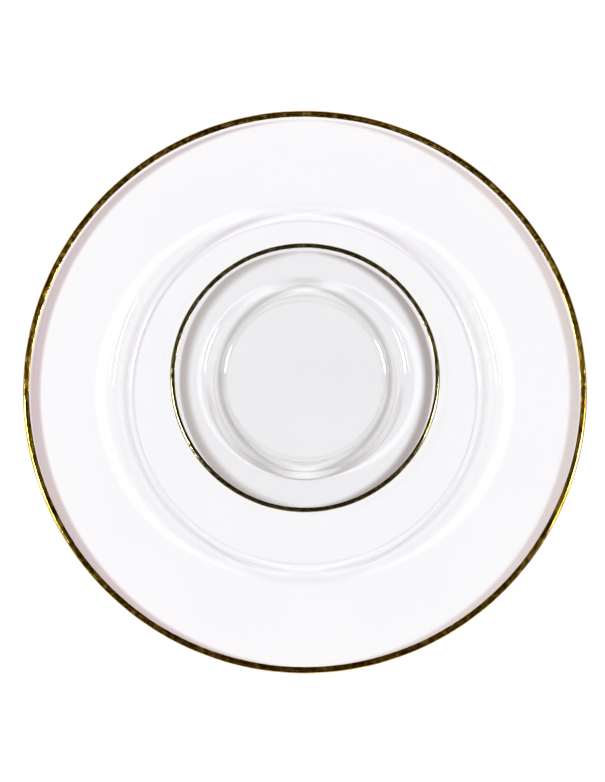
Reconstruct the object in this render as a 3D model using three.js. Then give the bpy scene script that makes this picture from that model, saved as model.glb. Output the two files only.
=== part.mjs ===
// A two-piece chip and dip server in clear glass: a wide-rimmed round platter for the chips, and a
// small wide-rimmed bowl for the dip, which stands loose on the platter's flat middle. Each rim has
// a band of gold fired round its rounded edge.
//
// Millimetres, +Z up. The origin is the middle of the platter's foot, on the table. -Y is the front.
// Every piece is a body of revolution, drawn as a half section of (radius, height) points and turned
// about its own upright axis.

import * as THREE from "three";

// Driving dimensions.
const PLATTER = {
  radius: 165, // to the outside of the gold
  height: 18, // from the table to the top of the gold
  floorTop: 4.6, // height of the flat middle
  floorRadius: 104.8, // where the floor and the wall would meet without their fillet
  wallRise: 6.6, // from the floor to the shoulder
  wallAngle: 50, // degrees from the horizontal
  wallThickness: 3.6,
  edgeThickness: 3.3,
  edgeCorner: 0.8, // radius of the edge's two corners
  goldOnTop: 2.6, // how far the gold runs in from the upper corner
  wellFillet: 7,
  shoulderFillet: 6,
  elbowFillet: 8, // under the shoulder
  footOuterFillet: 3,
  footInner: 102, // the foot is a flat ring between here and the outer fillet
  kick: 0.5, // how far the underside is raised inside the foot
  kickWidth: 0.9, // and how wide the step up to it is
  segments: 72,
};
const BOWL = {
  radius: 78.8,
  height: 17,
  floorTop: 4,
  floorRadius: 48.6,
  wallRise: 11.2,
  wallAngle: 54,
  wallThickness: 3,
  edgeThickness: 2.8,
  edgeCorner: 0.8,
  goldOnTop: 1.6,
  wellFillet: 4,
  shoulderFillet: 5,
  elbowFillet: 6,
  footOuterFillet: 1.8,
  footInner: 47.3,
  kick: 0.45,
  kickWidth: 0.8,
  segments: 60,
};
const BAND = {
  thickness: 0.2,
  gap: 0.05, // between the glass and the band
  underneath: 0.8, // how far the band runs in from the edge's lower corner
};
const BOWL_SET_BACK = 7.2; // how far behind the platter's middle the bowl stands
const BOWL_LIFT = 0.05; // between the bowl's foot and the platter's floor
const ARC_STEP = 16; // degrees, the most that one straight piece of a fillet turns
const EDGE_STEP = 36; // and of the edge's corners

const CLEAR_GLASS = {
  color: 0xf7f6fa,
  roughness: 0.02,
  metalness: 0,
  transparent: true,
  opacity: 0.35,
};
const FIRED_GOLD = { color: 0xb8902f, roughness: 0.2, metalness: 1 };

const radians = THREE.MathUtils.degToRad;
const point = (r, z) => new THREE.Vector2(r, z);
const along = (angle) => point(Math.cos(angle), Math.sin(angle));

// Points of an arc, both ends included.
function arc(centre, radius, from, to, step) {
  const count = Math.max(1, Math.ceil(Math.abs(to - from) / radians(step) - 1e-6));
  return Array.from({ length: count + 1 }, (_, i) =>
    along(from + ((to - from) * i) / count)
      .multiplyScalar(radius)
      .add(centre),
  );
}

// Rounds the corner at `corner` between `before` and `after` with a tangent arc.
function fillet(before, corner, after, radius) {
  const arriving = corner.clone().sub(before).normalize();
  const leaving = after.clone().sub(corner).normalize();
  const turn = Math.atan2(arriving.cross(leaving), arriving.dot(leaving));
  const side = Math.sign(turn);
  const start = corner.clone().addScaledVector(arriving, -radius * Math.tan(Math.abs(turn) / 2));
  const centre = start.add(point(-arriving.y, arriving.x).multiplyScalar(side * radius));
  const from = arriving.angle() - (side * Math.PI) / 2;
  return arc(centre, radius, from, from + turn, ARC_STEP);
}

// Where the line through p along a meets the line through q along b.
function meet(p, a, q, b) {
  const step = q.clone().sub(p).cross(b) / a.cross(b);
  return p.clone().addScaledVector(a, step);
}

// The outer edge of a dish: the centres and the radius of its two rounded corners, and the slope of
// the rim that leads to it.
function rimEdge(dish) {
  const corner = dish.edgeCorner;
  const outside = corner + BAND.gap + BAND.thickness;
  const upper = point(dish.radius - outside, dish.height - outside);
  // The rim's upper face runs from the shoulder and touches the upper corner's circle.
  const run = upper.clone().sub(shoulderOf(dish));
  const slope = run.angle() + Math.asin(corner / run.length());
  const drop = (dish.edgeThickness - 2 * corner) / Math.cos(slope);
  const lower = point(upper.x, upper.y - drop);
  return { upper, lower, corner, slope };
}

// Up round the edge, at a distance outside the glass.
function roundEdge({ upper, lower, corner, slope }, offset) {
  const radius = corner + offset;
  const quarter = Math.PI / 2;
  return [
    ...arc(lower, radius, slope - quarter, 0, EDGE_STEP),
    ...arc(upper, radius, 0, slope + quarter, EDGE_STEP),
  ];
}

function shoulderOf(dish) {
  const run = dish.wallRise / Math.tan(radians(dish.wallAngle));
  return point(dish.floorRadius + run, dish.floorTop + dish.wallRise);
}

// Half section of a dish's glass: out along the underside, round the edge and back along the top.
function glassSection(dish) {
  const edge = rimEdge(dish);
  const aroundEdge = roundEdge(edge, 0);
  const underRim = aroundEdge[0];
  const topOfRim = aroundEdge.at(-1);
  const wall = along(radians(dish.wallAngle));
  const rim = along(edge.slope);

  const well = point(dish.floorRadius, dish.floorTop);
  const shoulder = shoulderOf(dish);
  const outerWall = well.clone().addScaledVector(point(wall.y, -wall.x), dish.wallThickness);
  const heel = meet(outerWall, wall, point(0, 0), point(1, 0));
  const elbow = meet(outerWall, wall, underRim, rim);

  return [
    point(0, dish.kick),
    point(dish.footInner - dish.kickWidth, dish.kick),
    point(dish.footInner, 0),
    ...fillet(point(0, 0), heel, elbow, dish.footOuterFillet),
    ...fillet(heel, elbow, underRim, dish.elbowFillet),
    ...aroundEdge,
    ...fillet(topOfRim, shoulder, well, dish.shoulderFillet),
    ...fillet(shoulder, well, point(0, dish.floorTop), dish.wellFillet),
    point(0, dish.floorTop),
  ];
}

// Half section of the gold on a dish's edge: a thin hook that follows the glass at a constant gap.
function bandSection(dish) {
  const edge = rimEdge(dish);
  const rim = along(edge.slope);
  const skin = (offset) => {
    const around = roundEdge(edge, offset);
    const underside = around[0].clone().addScaledVector(rim, -BAND.underneath);
    const top = around.at(-1).clone().addScaledVector(rim, -dish.goldOnTop);
    return [underside, ...around, top];
  };
  const outer = skin(BAND.gap + BAND.thickness);
  const inner = skin(BAND.gap).reverse();
  return [...outer, ...inner, outer[0]];
}

function turned(name, section, segments, finish) {
  const geometry = new THREE.LatheGeometry(section, segments).rotateX(Math.PI / 2);
  const mesh = new THREE.Mesh(geometry, new THREE.MeshStandardMaterial(finish));
  mesh.name = name;
  return mesh;
}

function dish(name, shape) {
  const group = new THREE.Group();
  group.add(
    turned(`${name}_glass`, glassSection(shape), shape.segments, CLEAR_GLASS),
    turned(`${name}_gold_band`, bandSection(shape), shape.segments, FIRED_GOLD),
  );
  return group;
}

const server = new THREE.Group();
const platter = dish("platter", PLATTER);
const dipBowl = dish("dip_bowl", BOWL);
dipBowl.position.set(0, BOWL_SET_BACK, PLATTER.floorTop + BOWL_LIFT);
server.add(platter, dipBowl);

export default server;
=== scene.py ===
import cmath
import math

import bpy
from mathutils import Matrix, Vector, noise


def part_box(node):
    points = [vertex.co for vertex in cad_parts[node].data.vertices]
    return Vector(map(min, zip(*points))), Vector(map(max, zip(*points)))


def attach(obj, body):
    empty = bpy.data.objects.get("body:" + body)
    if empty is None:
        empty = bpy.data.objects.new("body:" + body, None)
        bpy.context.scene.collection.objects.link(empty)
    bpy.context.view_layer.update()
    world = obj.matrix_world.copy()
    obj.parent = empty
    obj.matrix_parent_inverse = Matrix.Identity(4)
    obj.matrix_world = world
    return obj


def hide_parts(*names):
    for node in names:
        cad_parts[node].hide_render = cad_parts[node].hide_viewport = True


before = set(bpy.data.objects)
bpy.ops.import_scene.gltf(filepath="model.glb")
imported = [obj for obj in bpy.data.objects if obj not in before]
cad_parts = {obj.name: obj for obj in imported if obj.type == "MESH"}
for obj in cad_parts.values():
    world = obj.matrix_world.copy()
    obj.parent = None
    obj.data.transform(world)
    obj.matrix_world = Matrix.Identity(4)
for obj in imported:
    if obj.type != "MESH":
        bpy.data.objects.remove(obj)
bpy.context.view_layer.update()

# A two-piece chip and dip server in clear glass with gold-edged rims, seen from almost straight
# above on a white table. Each dish is turned again here with a finer section than the frame's, in
# the same place and to the same sizes. Lengths are millimetres until a mesh is made from them.

MM = 0.001

# The two dishes, to the CAD's own driving dimensions.
PLATTER = {
    "radius": 165,  # to the outside of the gold
    "height": 18,
    "floor_top": 4.6,
    "floor_radius": 104.8,  # where floor and wall would meet without their fillet
    "wall_rise": 6.6,
    "wall_angle": 50,
    "wall_thickness": 3.6,
    "edge_thickness": 3.3,
    "edge_corner": 0.8,
    "gold_on_top": 2.6,
    "well_fillet": 7,
    "shoulder_fillet": 6,
    "elbow_fillet": 8,  # under the shoulder
    "foot_fillet": 3,
    "foot_inner": 102,
    "kick": 0.5,
    "kick_width": 0.9,
}
BOWL = {
    "radius": 78.8,
    "height": 17,
    "floor_top": 4,
    "floor_radius": 48.6,
    "wall_rise": 11.2,
    "wall_angle": 54,
    "wall_thickness": 3,
    "edge_thickness": 2.8,
    "edge_corner": 0.8,
    "gold_on_top": 1.6,
    "well_fillet": 4,
    "shoulder_fillet": 5,
    "elbow_fillet": 6,
    "foot_fillet": 1.8,
    "foot_inner": 47.3,
    "kick": 0.45,
    "kick_width": 0.8,
}
BAND_REACH = 0.25  # from the glass to the outside of the frame's gold band
BAND_STAND = 0.24  # how far this gold stands off the glass: a hair less, to stay inside the frame's
BAND_SINK = 0.03  # how far its back is sunk into the glass, so that no air shows between them
BAND_FILM = 0.03  # how far it stands off where it thins out
BAND_UNDERNEATH = 0.8  # how far it runs in from the edge's lower corner
PLATTER_SEGMENTS = 360
BOWL_SEGMENTS = 288
PLATTER_RIPPLE = (0.5, 0.05, 30.0)  # its noise's seed, its height and its length
BOWL_RIPPLE = (7.5, 0.04, 22.0)

ARC_STEP = 3.0  # degrees that one straight piece of a fillet turns
EDGE_STEP = 7.5  # and of the rounded edge
RUN_STEP = 3.0  # length of the straight pieces between fillets
RUN_SUPPORT = 0.25  # a ring this close to each end of a straight keeps its shading flat

# Glass: two close tints that drift into each other.
PLATTER_TINTS = ((0.3, (0.980, 0.970, 0.995)), (0.7, (0.990, 0.983, 1.0)))
BOWL_TINTS = ((0.3, (0.975, 0.975, 0.978)), (0.7, (0.990, 0.990, 0.992)))
GLASS_IOR = 1.5
GLASS_CLOUD = (14.0, 3.0)  # the scale and the detail of the tint's noise
GLASS_SKIN = (90.0, 2.0)  # and of the surface's
# Light let through to what lies behind, by how a face lies: 0 face on, 1 edge on.
SEEN_THROUGH = ((0.05, 1.0), (0.18, 0.98), (0.45, 0.94), (0.9, 0.6))

# Gold: its tones by how its streaks and its mottling add up.
PLATTER_GOLD = ((0.40, (0.22, 0.11, 0.008)), (0.50, (0.46, 0.275, 0.03)), (0.60, (0.80, 0.56, 0.11)))
BOWL_GOLD = ((0.40, (0.16, 0.13, 0.05)), (0.50, (0.31, 0.26, 0.11)), (0.60, (0.60, 0.52, 0.24)))
GOLD_STREAKS = (9.0, 1400.0, 1400.0)  # how often they change round the rim, and per metre across it
GOLD_MOTTLE = (420.0, 5.0)  # scale and detail
GOLD_MOTTLE_SHARE = 0.35  # beside the streaks
GOLD_ROUGHNESS = (0.05, 0.11)
# How its two edges wander: waves, each with a reach, how often it changes per millimetre, and a seed.
TOP_WANDER = ((0.18, 0.03, 0), (0.10, 0.35, 5))
UNDERNEATH_WANDER = ((0.25, 0.03, 9), (0.10, 0.3, 13))

# Lengths in the room are metres.
TABLE_SIZE = 6.0
TABLE_WHITE = 0.8
LAMP_COLOUR = (0.98, 0.99, 1.0)
LAMP_TILT = 15  # degrees off the vertical
LAMP_DISTANCE = 4.0
LAMP_WIDTH = 0.5
LEFT_WATTS = 114.6
RIGHT_WATTS = 89.2
ROOM = ((0.18, (0.95, 0.95, 0.95)), (0.32, (0.045, 0.030, 0.022)))  # colours by height
CAMERA_ELEVATION = 86  # degrees
CAMERA_DISTANCE = 1.6
FRAME_HEIGHT = 0.4578  # how much the camera sees from top to bottom, at its target
CAMERA_TARGET = (-0.00145, -0.0005, 0.016)
LIGHT_BOUNCES = 16

PAINTED_LIGHT_FADE = 0.03  # lift over which a dish's painted light and shadow fade out
PAINTED_LIGHT_SIDE = 0.2  # of a circle's radius: how far either side of its end a painted crescent fades


def both_ways(inner, outer, gain, side, past):
    """A crescent and its mirror image on the other side."""
    def mirror(circle):
        radius, right, back, soft = circle
        return radius, -right, back, soft

    return (inner, outer, gain, side, past), (mirror(inner), mirror(outer), gain, -side, past)


# What is painted into the table's colour for each dish: crescents between an inner and an outer
# circle, each circle with its radius, its shift to the right and to the back and its softness in
# millimetres, then what they add to or take from the table's white, the side they are on (-1 left,
# 1 right, 0 both) and how far they run on past the middle, as a share of the radius. They are the
# gold's painted shadow, the painted light and painted shade from the wall, and the foot's fine painted
# shadow.
PLATTER_PAINTED_LIGHT = (
    ((162.5, 5.9, 0, 1.4), (170, 5.9, 0, 0.8), (-0.31, -0.41, -0.40), -1, 0),
    ((162.5, -5.9, 0, 1.4), (170, -5.9, 0, 0.8), (-0.24, -0.31, -0.33), 1, 0),
    *both_ways((105.6, 11.9, 0, 1.1), (109.1, 15.0, 0, 1.1), (0.065, 0.065, 0.065), 1, 0.35),
    *both_ways((110.3, 9.7, -1.6, 0.8), (114, 13, -0.4, 2.0), (-0.15, -0.19, -0.15), -1, -0.25),
    ((100.9, 0, 0, 0.6), (102.6, 0, 0, 0.6), (-0.05, -0.08, -0.06), 0, 0),
)
PLATTER_PAINT_EDGE = (162.5, 0, 0, 0.5)  # all the painted shadow and light for it ends here
# The bowl's painted shadow, painted light and painted shade, in the same columns.
BOWL_PAINTED_LIGHT = (
    ((76.2, 7.2, 0, 2.6), (81.3, 7.2, 0, 0.8), (-0.40, -0.44, -0.47), -1, 0),
    ((76.2, -5.8, 0, 2.0), (81.4, -5.8, 0, 0.8), (-0.48, -0.53, -0.55), 1, 0),
    ((54.1, 10.9, 0, 0.7), (56.6, 12.2, 0, 0.7), (0.13, 0.13, 0.13), 1, 0.4),
    ((53.4, -6.9, 0, 0.7), (55.8, -8.1, 0, 0.7), (0.13, 0.13, 0.13), -1, 0.4),
    *both_ways((56.8, 7.5, 0, 0.6), (58.0, 5.0, 0, 1.6), (-0.26, -0.29, -0.30), -1, 0),
    ((54.6, 0, -1.0, 0.6), (55.4, 0, -2.2, 0.6), (-0.16, -0.18, -0.19), 0, 0),
    ((46.0, 0, 0, 0.6), (48.0, 0, 0, 0.6), (-0.07, -0.09, -0.12), 0, 0),
)
# all the bowl's painted shadow and light ends here
BOWL_PAINT_EDGE = (76.4, -0.4, 0, 0.5)


# ---------------------------------------------------------------------------------------------
# Half sections, as complex numbers: the radius is the real part and the height the imaginary part.

def unit(step):
    return step / abs(step)


def arc(centre, radius, start, end, step):
    count = max(1, math.ceil(abs(end - start) / math.radians(step) - 1e-6))
    return [centre + cmath.rect(radius, start + (end - start) * i / count) for i in range(count + 1)]


def fillet(before, corner, after, radius):
    """The tangent arc that rounds a corner."""
    arriving = unit(corner - before)
    leaving = unit(after - corner)
    turn = cmath.phase(leaving / arriving)
    start = corner - arriving * radius * math.tan(abs(turn) / 2)
    centre = start + arriving * 1j * math.copysign(radius, turn)
    first = cmath.phase(start - centre)
    return arc(centre, radius, first, first + turn, ARC_STEP)


def meet(p, a, q, b):
    """Where the line through p along a meets the line through q along b."""
    cross = (a.conjugate() * b).imag
    return p + a * ((q - p).conjugate() * b).imag / cross


def shoulder_of(dish):
    run = dish["wall_rise"] / math.tan(math.radians(dish["wall_angle"]))
    return complex(dish["floor_radius"] + run, dish["floor_top"] + dish["wall_rise"])


def rim_edge(dish):
    """The outer edge of the glass: the centres of its two rounded corners, upper first, and the
    slope of the rim."""
    corner = dish["edge_corner"]
    outside = corner + BAND_REACH
    upper = complex(dish["radius"] - outside, dish["height"] - outside)
    run = upper - shoulder_of(dish)
    slope = cmath.phase(run) + math.asin(corner / abs(run))
    drop = (dish["edge_thickness"] - 2 * corner) / math.cos(slope)
    return upper, upper - 1j * drop, slope


def round_edge(dish):
    """Up round the edge: each point of the glass with its normal."""
    upper, lower, slope = rim_edge(dish)
    corner = dish["edge_corner"]
    path = []
    for centre, start, end in ((lower, slope - math.pi / 2, 0), (upper, 0, slope + math.pi / 2)):
        path += [(centre + normal * corner, normal) for normal in arc(0, 1, start, end, EDGE_STEP)]
    return path


def filled(corners):
    """Adds rings along each long straight of a section. Each point comes with its share of the
    ripple: none on the fillets and at the ends of a straight, all of it in the middle."""
    points = [(corners[0], 0.0)]
    for start, end in zip(corners, corners[1:]):
        length = abs(end - start)
        if length > 2 * RUN_STEP:
            count = round(length / RUN_STEP)
            shares = [RUN_SUPPORT / length, *(i / count for i in range(1, count)), 1 - RUN_SUPPORT / length]
            points += [(start + (end - start) * s, math.sin(math.pi * s) ** 2) for s in shares]
        points.append((end, 0.0))
    return points


def glass_section(dish):
    """Out along the underside, round the edge and back along the top, from axis to axis."""
    edge = [place for place, normal in round_edge(dish)]
    wall = cmath.rect(1, math.radians(dish["wall_angle"]))
    rim = cmath.rect(1, rim_edge(dish)[2])

    well = complex(dish["floor_radius"], dish["floor_top"])
    shoulder = shoulder_of(dish)
    outer_wall = well - 1j * wall * dish["wall_thickness"]
    heel = meet(outer_wall, wall, 0, 1)
    elbow = meet(outer_wall, wall, edge[0], rim)

    kick = complex(0, dish["kick"])
    kick_end = kick + dish["foot_inner"] - dish["kick_width"]
    foot_start = complex(dish["foot_inner"], 0)
    kick_fillet = 1.5 * dish["kick_width"]

    return filled([
        kick,
        *fillet(kick, kick_end, foot_start, kick_fillet),
        *fillet(kick_end, foot_start, heel, kick_fillet),
        *fillet(foot_start, heel, elbow, dish["foot_fillet"]),
        *fillet(heel, elbow, edge[0], dish["elbow_fillet"]),
        *edge,
        *fillet(edge[-1], shoulder, well, dish["shoulder_fillet"]),
        *fillet(shoulder, well, complex(0, dish["floor_top"]), dish["well_fillet"]),
        complex(0, dish["floor_top"]),
    ])


def band_section(dish, on_top, underneath):
    """A closed hook round the edge, of one thickness but for its two thin ends."""
    edge = round_edge(dish)
    rim = cmath.rect(1, rim_edge(dish)[2])
    (first, down), (last, up) = edge[0], edge[-1]
    path = [*((first - rim * underneath * share, down) for share in (1.0, 0.8, 0.4)),
            *edge,
            *((last - rim * on_top * share, up) for share in (0.3, 0.6, 0.88, 0.93, 1.0))]
    stands = [BAND_STAND] * len(path)
    stands[0] = stands[-1] = BAND_FILM
    outer = [place + normal * stand for (place, normal), stand in zip(path, stands)]
    inner = [place - normal * BAND_SINK for place, normal in path]
    return outer + inner[::-1]


# ---------------------------------------------------------------------------------------------
# Meshes

def mesh_object(name, vertices, faces):
    mesh = bpy.data.meshes.new(name)
    mesh.from_pydata([tuple(c * MM for c in v) for v in vertices], [], faces)
    mesh.validate()
    mesh.shade_smooth()
    piece = bpy.data.objects.new(name, mesh)
    bpy.context.scene.collection.objects.link(piece)
    return piece


def turned_glass(name, section, place, segments, ripple):
    """Turns an open section, whose two ends are on the axis, about an axis through place."""
    x0, y0, z0 = place
    vertices = []
    rings = []
    for point, share in section:
        ring = []
        for j in range(segments if point.real > 0 else 1):
            angle = 2 * math.pi * j / segments
            x = point.real * math.cos(angle)
            y = point.real * math.sin(angle)
            ring.append(len(vertices))
            vertices.append((x0 + x, y0 + y, z0 + point.imag + share * ripple(x, y, point.imag)))
        rings.append(ring)
    faces = []
    for ring, above in zip(rings, rings[1:]):
        for j in range(segments):
            k = (j + 1) % segments
            if len(ring) == 1:
                faces.append((ring[0], above[k], above[j]))
            elif len(above) == 1:
                faces.append((ring[j], ring[k], above[0]))
            else:
                faces.append((ring[j], ring[k], above[k], above[j]))
    return mesh_object(name, vertices, faces)


def turned_band(name, section_at, place, segments):
    """Turns a closed section that changes with the angle."""
    x0, y0, z0 = place
    vertices = []
    for j in range(segments):
        angle = 2 * math.pi * j / segments
        for point in section_at(angle):
            x = point.real * math.cos(angle)
            y = point.real * math.sin(angle)
            vertices.append((x0 + x, y0 + y, z0 + point.imag))
    count = len(vertices) // segments
    faces = []
    for j in range(segments):
        near = j * count
        far = (j + 1) % segments * count
        for i in range(count):
            k = (i + 1) % count
            faces.append((near + i, far + i, far + k, near + k))
    return mesh_object(name, vertices, faces)


def pressed_ripple(seed, height, length):
    """The faint waviness that a press leaves, different on the top and the underside."""
    def ripple(x, y, z):
        return height * noise.noise(Vector((x / length, y / length, seed + z)))
    return ripple


def brushed_band(dish, seed):
    """The band's section at an angle: its width wanders, as gold put on with a brush does."""
    def wander(angle, waves):
        total = 0.0
        for reach, pitch, offset in waves:
            turns = pitch * dish["radius"]
            place = Vector((turns * math.cos(angle), turns * math.sin(angle), seed + offset))
            total += reach * noise.noise(place)
        return total

    def section_at(angle):
        on_top = dish["gold_on_top"] + wander(angle, TOP_WANDER)
        underneath = BAND_UNDERNEATH + wander(angle, UNDERNEATH_WANDER)
        return band_section(dish, on_top, underneath)
    return section_at


# ---------------------------------------------------------------------------------------------
# Materials

def new_material(name):
    material = bpy.data.materials.new(name)
    material.use_nodes = True
    return material, material.node_tree, material.node_tree.nodes["Principled BSDF"]


def add_ramp(tree, value, stops):
    """A colour for a value, from stops that are each a place and a colour."""
    node = tree.nodes.new("ShaderNodeValToRGB")
    elements = node.color_ramp.elements
    while len(elements) < len(stops):
        elements.new(1.0)
    for element, (at, colour) in zip(elements, stops):
        element.position = at
        element.color = (*colour, 1)
    tree.links.new(value, node.inputs["Fac"])
    return node.outputs["Color"]


def add_noise(tree, vector, scale, detail):
    node = tree.nodes.new("ShaderNodeTexNoise")
    node.inputs["Scale"].default_value = scale
    node.inputs["Detail"].default_value = detail
    tree.links.new(vector, node.inputs["Vector"])
    return node.outputs["Fac"]


def add_bump(tree, shader, height, strength, distance):
    node = tree.nodes.new("ShaderNodeBump")
    node.inputs["Strength"].default_value = strength
    node.inputs["Distance"].default_value = distance
    tree.links.new(height, node.inputs["Height"])
    tree.links.new(node.outputs["Normal"], shader.inputs["Normal"])


def add_math(tree, operation, *values):
    """A Math node fed by outputs or plain numbers."""
    node = tree.nodes.new("ShaderNodeMath")
    node.operation = operation
    for socket, value in zip(node.inputs, values):
        if isinstance(value, (int, float)):
            socket.default_value = value
        else:
            tree.links.new(value, socket)
    return node.outputs["Value"]


def clear_glass(name, tints):
    """Clear pressed glass: a faint uneven tint, and a fine uneven surface. Lamps and light that
    the table throws back pass straight through it."""
    material, tree, shader = new_material(name)
    nodes = tree.nodes
    links = tree.links
    shader.inputs["Transmission Weight"].default_value = 1.0
    shader.inputs["Roughness"].default_value = 0.0
    shader.inputs["IOR"].default_value = GLASS_IOR

    place = nodes.new("ShaderNodeTexCoord").outputs["Object"]
    cloud = add_noise(tree, place, *GLASS_CLOUD)
    links.new(add_ramp(tree, cloud, tints), shader.inputs["Base Color"])
    add_bump(tree, shader, add_noise(tree, place, *GLASS_SKIN), 0.15, 0.0001)

    path = nodes.new("ShaderNodeLightPath")
    plain = add_math(tree, "MAXIMUM", path.outputs["Is Shadow Ray"], path.outputs["Is Diffuse Ray"])
    facing = nodes.new("ShaderNodeLayerWeight")
    facing.inputs["Blend"].default_value = 0.5
    through = add_ramp(tree, facing.outputs["Facing"], [(at, (level,) * 3) for at, level in SEEN_THROUGH])
    open_glass = nodes.new("ShaderNodeBsdfTransparent")
    links.new(through, open_glass.inputs["Color"])
    either = nodes.new("ShaderNodeMixShader")
    links.new(plain, either.inputs["Fac"])
    links.new(shader.outputs["BSDF"], either.inputs[1])
    links.new(open_glass.outputs["BSDF"], either.inputs[2])
    links.new(either.outputs["Shader"], nodes["Material Output"].inputs["Surface"])
    return material


def add_stroke(tree, place, middle):
    """A place on a rim as a brush meets it: how far round, how far out and how high."""
    shift = tree.nodes.new("ShaderNodeVectorMath")
    shift.operation = "SUBTRACT"
    shift.inputs[1].default_value = [c * MM for c in middle]
    tree.links.new(place, shift.inputs[0])
    split = tree.nodes.new("ShaderNodeSeparateXYZ")
    tree.links.new(shift.outputs["Vector"], split.inputs["Vector"])
    around = add_math(tree, "ARCTAN2", split.outputs["Y"], split.outputs["X"])
    across = tree.nodes.new("ShaderNodeVectorMath")
    across.operation = "LENGTH"
    tree.links.new(shift.outputs["Vector"], across.inputs[0])
    stroke = tree.nodes.new("ShaderNodeCombineXYZ")
    tree.links.new(around, stroke.inputs["X"])
    tree.links.new(across.outputs["Value"], stroke.inputs["Y"])
    tree.links.new(split.outputs["Z"], stroke.inputs["Z"])
    return stroke.outputs["Vector"]


def fired_gold(name, middle, tones):
    """Bright gold brushed on round the rim: streaks along the stroke, thin places and specks."""
    material, tree, shader = new_material(name)
    shader.inputs["Metallic"].default_value = 1.0

    place = tree.nodes.new("ShaderNodeTexCoord").outputs["Object"]
    stretch = tree.nodes.new("ShaderNodeMapping")
    stretch.inputs["Scale"].default_value = GOLD_STREAKS
    tree.links.new(add_stroke(tree, place, middle), stretch.inputs["Vector"])
    streaks = add_noise(tree, stretch.outputs["Vector"], 1.0, 3.0)
    mottle = add_noise(tree, place, *GOLD_MOTTLE)
    both = add_math(tree, "MULTIPLY_ADD", mottle, GOLD_MOTTLE_SHARE, streaks)
    level = add_math(tree, "DIVIDE", both, 1 + GOLD_MOTTLE_SHARE)
    tree.links.new(add_ramp(tree, level, tones), shader.inputs["Base Color"])

    rough = tree.nodes.new("ShaderNodeMapRange")
    rough.inputs["From Min"].default_value = 0.35
    rough.inputs["From Max"].default_value = 0.65
    rough.inputs["To Min"].default_value, rough.inputs["To Max"].default_value = GOLD_ROUGHNESS
    tree.links.new(mottle, rough.inputs["Value"])
    tree.links.new(rough.outputs["Result"], shader.inputs["Roughness"])
    add_bump(tree, shader, both, 0.06, 0.00005)
    return material


# ---------------------------------------------------------------------------------------------
# The two dishes

def add_dish(body, dish, place, segments, ripple, tints, gold_tones):
    """Makes the glass and the gold of one dish and puts them in the frame's place for it."""
    section = glass_section(dish)
    glass = turned_glass(f"{body}_glass_fine", section, place, segments, pressed_ripple(*ripple))
    glass.data.materials.append(clear_glass(f"{body}_clear", tints))
    gold = turned_band(f"{body}_gold_fine", brushed_band(dish, place[2]), place, 2 * segments)
    gold.data.materials.append(fired_gold(f"{body}_gold", place, gold_tones))
    gold.visible_shadow = False  # its shadow is painted into the table's colour instead
    for piece, replaced, slot in (
        (glass, f"{body}_glass", "clear_glass"),
        (gold, f"{body}_gold_band", "fired_gold"),
    ):
        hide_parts(replaced)
        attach(piece, body)
    return glass


def foot_centre(node):
    """The middle of a dish's foot, from the box of its glass in the frame."""
    low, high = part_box(node)
    return ((low[0] + high[0]) / 2 / MM, (low[1] + high[1]) / 2 / MM, low[2] / MM)


platter_middle = foot_centre("platter_glass")
bowl_middle = foot_centre("dip_bowl_glass")
platter = add_dish(
    "platter", PLATTER, platter_middle, PLATTER_SEGMENTS, PLATTER_RIPPLE, PLATTER_TINTS, PLATTER_GOLD)
bowl = add_dish(
    "dip_bowl", BOWL, bowl_middle, BOWL_SEGMENTS, BOWL_RIPPLE, BOWL_TINTS, BOWL_GOLD)


# ---------------------------------------------------------------------------------------------
# Table, lights and camera

def add_step(tree, value, start, end, low, high):
    """A smooth step of a value, from low at start to high at end."""
    node = tree.nodes.new("ShaderNodeMapRange")
    node.interpolation_type = "SMOOTHSTEP"
    node.inputs["From Min"].default_value = start
    node.inputs["From Max"].default_value = end
    node.inputs["To Min"].default_value = low
    node.inputs["To Max"].default_value = high
    tree.links.new(value, node.inputs["Value"])
    return node.outputs["Result"]


def add_distance(tree, flat, x, y):
    """How far a place on the table is from (x, y), given in millimetres."""
    node = tree.nodes.new("ShaderNodeVectorMath")
    node.operation = "DISTANCE"
    node.inputs[1].default_value = (x * MM, y * MM, 0)
    tree.links.new(flat, node.inputs[0])
    return node.outputs["Value"]


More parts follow.
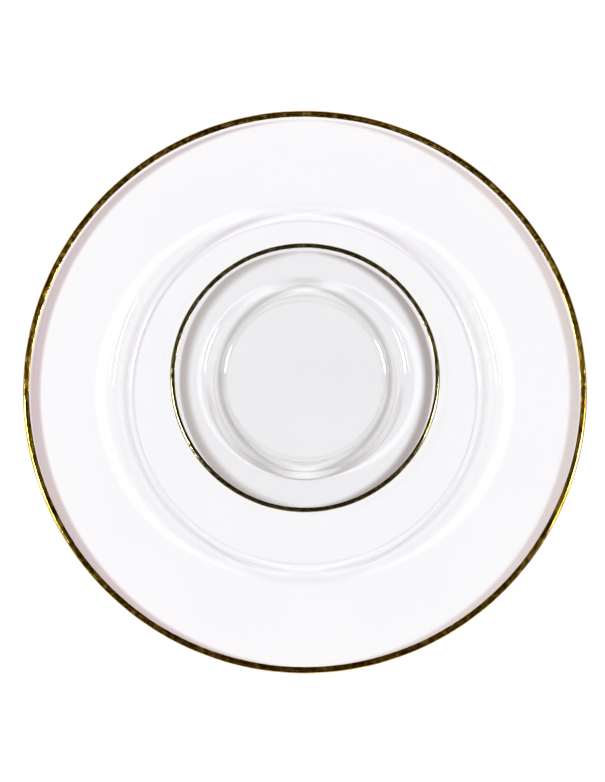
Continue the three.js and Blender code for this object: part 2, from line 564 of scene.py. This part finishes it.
def add_painted_light(tree, dish_object, middle, rim, painted_crescents, total):
    """Adds to a colour the shadows and light painted for a dish on the table. The painted shadow and
    light follow the dish, and fade as it is lifted off."""
    place = tree.nodes.new("ShaderNodeTexCoord")
    place.object = dish_object
    split = tree.nodes.new("ShaderNodeSeparateXYZ")
    tree.links.new(place.outputs["Object"], split.inputs["Vector"])
    flat = tree.nodes.new("ShaderNodeCombineXYZ")
    tree.links.new(split.outputs["X"], flat.inputs["X"])
    tree.links.new(split.outputs["Y"], flat.inputs["Y"])
    near = add_step(tree, split.outputs["Z"], -PAINTED_LIGHT_FADE, -0.1 * PAINTED_LIGHT_FADE, 0, 1)

    def edge(circle, low, high):
        radius, right, back, soft = circle
        away = add_distance(tree, flat.outputs["Vector"], middle[0] + right, middle[1] + back)
        return add_step(tree, away, (radius - soft) * MM, (radius + soft) * MM, low, high)

    within = add_math(tree, "MULTIPLY", near, edge(rim, 1, 0))
    # Each crescent paints shadow (a gain below 0) or light (a gain above 0) into the colour.
    for inner, outer, gain, side, past in painted_crescents:
        crescent = add_math(tree, "MULTIPLY", edge(inner, 0, 1), edge(outer, 1, 0))
        if side:
            start = middle[0] + side * (-PAINTED_LIGHT_SIDE - past) * inner[0]
            end = middle[0] + side * (PAINTED_LIGHT_SIDE - past) * inner[0]
            on_side = add_step(tree, split.outputs["X"], start * MM, end * MM, 0, 1)
            crescent = add_math(tree, "MULTIPLY", crescent, on_side)
        amount = add_math(tree, "MULTIPLY", crescent, within)
        node = tree.nodes.new("ShaderNodeVectorMath")
        node.operation = "MULTIPLY_ADD"
        tree.links.new(amount, node.inputs[0])
        node.inputs[1].default_value = gain
        if total is None:
            node.inputs[2].default_value = (1, 1, 1)
        else:
            tree.links.new(total, node.inputs[2])
        total = node.outputs["Vector"]
    return total


def add_table():
    """A white table, with the dishes' shadows and light painted into its colour."""
    half = TABLE_SIZE / 2 / MM
    corners = [(-half, -half, 0), (half, -half, 0), (half, half, 0), (-half, half, 0)]
    table = mesh_object("table", corners, [(0, 1, 2, 3)])
    material, tree, shader = new_material("white_table_painted_shade")
    shader.inputs["Roughness"].default_value = 0.9
    shader.inputs["Specular IOR Level"].default_value = 0.0
    # The painted shadows and light of both dishes, multiplied into the table's white.
    painted_tone = add_painted_light(tree, platter, platter_middle, PLATTER_PAINT_EDGE, PLATTER_PAINTED_LIGHT, None)
    painted_tone = add_painted_light(tree, bowl, bowl_middle, BOWL_PAINT_EDGE, BOWL_PAINTED_LIGHT, painted_tone)
    white = tree.nodes.new("ShaderNodeVectorMath")
    white.operation = "SCALE"
    white.inputs["Scale"].default_value = TABLE_WHITE
    tree.links.new(painted_tone, white.inputs[0])
    tree.links.new(white.outputs["Vector"], shader.inputs["Base Color"])
    table.data.materials.append(material)


def add_lamp(name, side, watts):
    """A round lamp to the left (-1) or right (1) of the table, aimed at its middle."""
    data = bpy.data.lights.new(name, "AREA")
    data.shape = "DISK"
    data.size = LAMP_WIDTH
    data.energy = watts
    data.color = LAMP_COLOUR
    lamp = bpy.data.objects.new(name, data)
    tilt = math.radians(LAMP_TILT)
    away = Vector((side * math.sin(tilt), 0, math.cos(tilt)))
    lamp.location = away * LAMP_DISTANCE
    lamp.rotation_euler = away.to_track_quat("Z", "Y").to_euler()
    bpy.context.scene.collection.objects.link(lamp)


def add_room():
    """A room with a dim brown ceiling, light near the horizon."""
    world = bpy.data.worlds.new("room")
    world.use_nodes = True
    tree = world.node_tree
    place = tree.nodes.new("ShaderNodeTexCoord")
    split = tree.nodes.new("ShaderNodeSeparateXYZ")
    tree.links.new(place.outputs["Generated"], split.inputs["Vector"])
    colour = add_ramp(tree, split.outputs["Z"], ROOM)
    tree.links.new(colour, tree.nodes["Background"].inputs["Color"])
    bpy.context.scene.world = world


def add_camera():
    """Looks down on the platter's rim from the front."""
    data = bpy.data.cameras.new("camera")
    data.sensor_width = 36
    data.lens = data.sensor_width * CAMERA_DISTANCE / FRAME_HEIGHT
    data.clip_end = 20
    camera = bpy.data.objects.new("camera", data)
    elevation = math.radians(CAMERA_ELEVATION)
    back = Vector((0, -math.cos(elevation), math.sin(elevation)))
    camera.location = Vector(CAMERA_TARGET) + back * CAMERA_DISTANCE
    camera.rotation_euler = back.to_track_quat("Z", "Y").to_euler()
    bpy.context.scene.collection.objects.link(camera)
    bpy.context.scene.camera = camera


add_table()
add_lamp("left_lamp", -1, LEFT_WATTS)
add_lamp("right_lamp", 1, RIGHT_WATTS)
add_room()
add_camera()

scene = bpy.context.scene
scene.view_settings.view_transform = "Standard"
scene.cycles.max_bounces = LIGHT_BOUNCES
scene.cycles.transmission_bounces = LIGHT_BOUNCES
scene.cycles.transparent_max_bounces = LIGHT_BOUNCES
